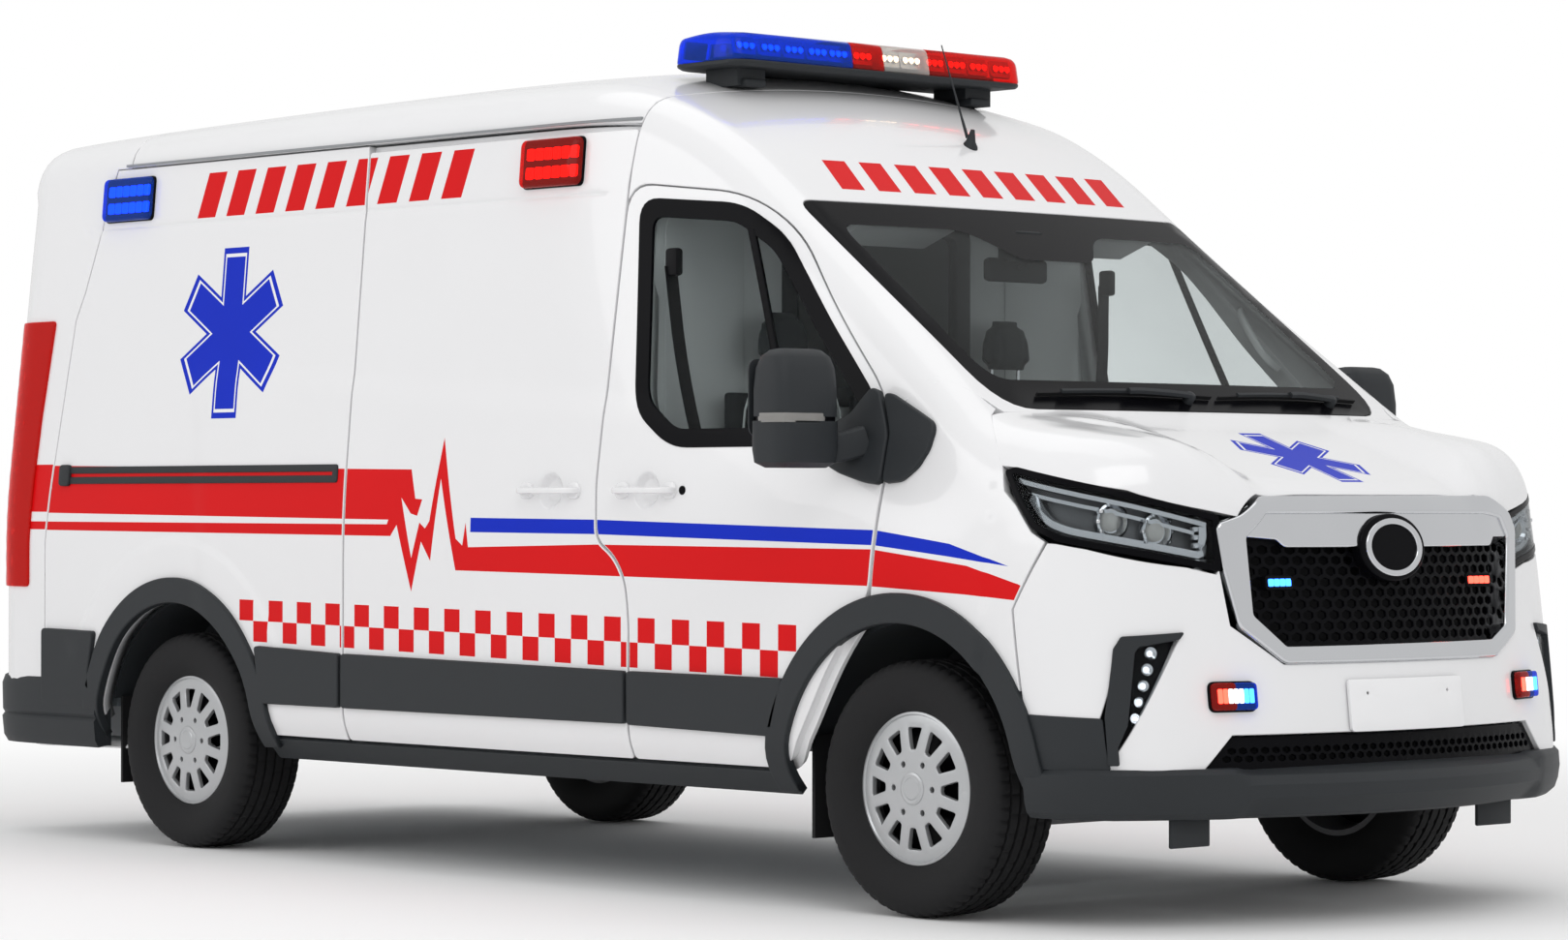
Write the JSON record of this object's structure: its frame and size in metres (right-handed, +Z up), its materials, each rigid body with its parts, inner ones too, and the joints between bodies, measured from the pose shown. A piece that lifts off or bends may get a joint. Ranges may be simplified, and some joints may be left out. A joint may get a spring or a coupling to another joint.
{
  "type": "ambulance van",
  "caption": "Mid-roof van ambulance with hinged front and rear doors, bonnet, steered front wheels, cab interior and warning lamps.",
  "frame": {"origin": "on the ground below the middle of the overall length, on the centre plane", "axes": "+X forwards, +Y to the left, +Z up"},
  "size_m": [5.5458, 2.58, 2.515],
  "materials": {
    "paint_white": "gloss",
    "window_glass": "clear",
    "lamp_clear": "clear",
    "black_plastic": "satin",
    "bright_chrome": "polished",
    "gloss_black": "gloss",
    "lamp_red": "clear",
    "lamp_blue": "clear",
    "floor_vinyl": "matte",
    "chassis_steel": "satin",
    "engine_metal": "rough",
    "cabin_plastic": "matte",
    "dash_plastic": "matte",
    "seat_fabric": "woven",
    "black_rubber": "matte",
    "tyre_rubber": "matte",
    "wheel_silver": "satin"
  },
  "bodies": {
    "body": {"bulkhead": "cabin_plastic", "cab_frame": "paint_white", "chassis": "chassis_steel", "dashboard": "dash_plastic", "driver_seat": "seat_fabric", "engine_block": "engine_metal", "fenders": "paint_white", "floor_pan": "floor_vinyl", "fog_lamps": "black_plastic", "front_bumper": "paint_white", "grille_frame": "bright_chrome", "grille_mesh": "gloss_black", "headlamps": "lamp_clear", "light_bar_base": "black_plastic", "light_bar_lens": "lamp_red", "lower_bumper": "black_plastic", "mid_panel_left": "paint_white", "mud_flaps": "black_rubber", "number_plate": "paint_white", "passenger_seats": "seat_fabric", "quarter_panels": "paint_white", "rear_axle": "chassis_steel", "rear_bumper": "black_plastic", "rear_frame": "paint_white", "roof": "paint_white", "side_trim": "black_plastic", "sliding_door": "paint_white", "tail_lamps": "lamp_red", "warning_lamps": "lamp_blue", "wheel_housings": "black_plastic", "windscreen": "window_glass"},
    "front_door_r": {"front_door_right": "paint_white", "door_glass_right": "window_glass", "mirror_right": "black_plastic"},
    "front_door_l": {"front_door_left": "paint_white", "door_glass_left": "window_glass", "mirror_left": "black_plastic"},
    "rear_door_r": {"rear_door_right": "paint_white", "rear_glass_right": "window_glass"},
    "rear_door_l": {"rear_door_left": "paint_white", "rear_glass_left": "window_glass"},
    "bonnet_lid": {"bonnet": "paint_white"},
    "steering_control": {"steering_wheel": "dash_plastic"},
    "steer_right": {"knuckle_right": "chassis_steel"},
    "steer_left": {"knuckle_left": "chassis_steel"},
    "wheel_front_right": {"tyre_front_right": "tyre_rubber", "rim_front_right": "wheel_silver"},
    "wheel_front_left": {"tyre_front_left": "tyre_rubber", "rim_front_left": "wheel_silver"},
    "wheel_rear_right": {"tyre_rear_right": "tyre_rubber", "rim_rear_right": "wheel_silver"},
    "wheel_rear_left": {"tyre_rear_left": "tyre_rubber", "rim_rear_left": "wheel_silver"}
  },
  "joints": [
    {"name": "front_door_right_hinge", "type": "hinge", "parent": "body", "child": "front_door_r", "pos_m": [1.66, -1.014, 1], "axis": [0, 0, 1], "range_deg": [0, 70]},
    {"name": "front_door_left_hinge", "type": "hinge", "parent": "body", "child": "front_door_l", "pos_m": [1.66, 1.014, 1], "axis": [0, 0, -1], "range_deg": [0, 70]},
    {"name": "rear_door_right_hinge", "type": "hinge", "parent": "body", "child": "rear_door_r", "pos_m": [-2.704, -0.85, 1.3], "axis": [0, 0, 1], "range_deg": [0, 180]},
    {"name": "rear_door_left_hinge", "type": "hinge", "parent": "body", "child": "rear_door_l", "pos_m": [-2.704, 0.85, 1.3], "axis": [0, 0, -1], "range_deg": [0, 180]},
    {"name": "bonnet_hinge", "type": "hinge", "parent": "body", "child": "bonnet_lid", "pos_m": [1.962, 0, 1.378], "axis": [0, -1, 0], "range_deg": [0, 50]},
    {"name": "steering_right", "type": "hinge", "parent": "body", "child": "steer_right", "pos_m": [1.756, -0.8, 0.348], "axis": [0, 0, 1], "range_deg": [-33, 33]},
    {"name": "steering_left", "type": "hinge", "parent": "body", "child": "steer_left", "pos_m": [1.756, 0.8, 0.348], "axis": [0, 0, 1], "range_deg": [-33, 33]},
    {"name": "steering_wheel_turn", "type": "hinge", "parent": "body", "child": "steering_control", "pos_m": [1.25, 0.45, 1.29], "axis": [-0.866, 0, 0.5], "range_deg": [-528, 528]},
    {"name": "wheel_front_right_spin", "type": "hinge", "parent": "steer_right", "child": "wheel_front_right", "pos_m": [1.756, -0.865, 0.348], "axis": [0, 1, 0], "continuous": true},
    {"name": "wheel_front_left_spin", "type": "hinge", "parent": "steer_left", "child": "wheel_front_left", "pos_m": [1.756, 0.865, 0.348], "axis": [0, 1, 0], "continuous": true},
    {"name": "wheel_rear_right_spin", "type": "hinge", "parent": "body", "child": "wheel_rear_right", "pos_m": [-1.61, -0.865, 0.348], "axis": [0, 1, 0], "continuous": true},
    {"name": "wheel_rear_left_spin", "type": "hinge", "parent": "body", "child": "wheel_rear_left", "pos_m": [-1.61, 0.865, 0.348], "axis": [0, 1, 0], "continuous": true}
  ],
  "couplings": [
    {"joint": "steering_left", "follows": "steering_right", "ratio": 1},
    {"joint": "steering_wheel_turn", "follows": "steering_right", "ratio": 16}
  ]
}
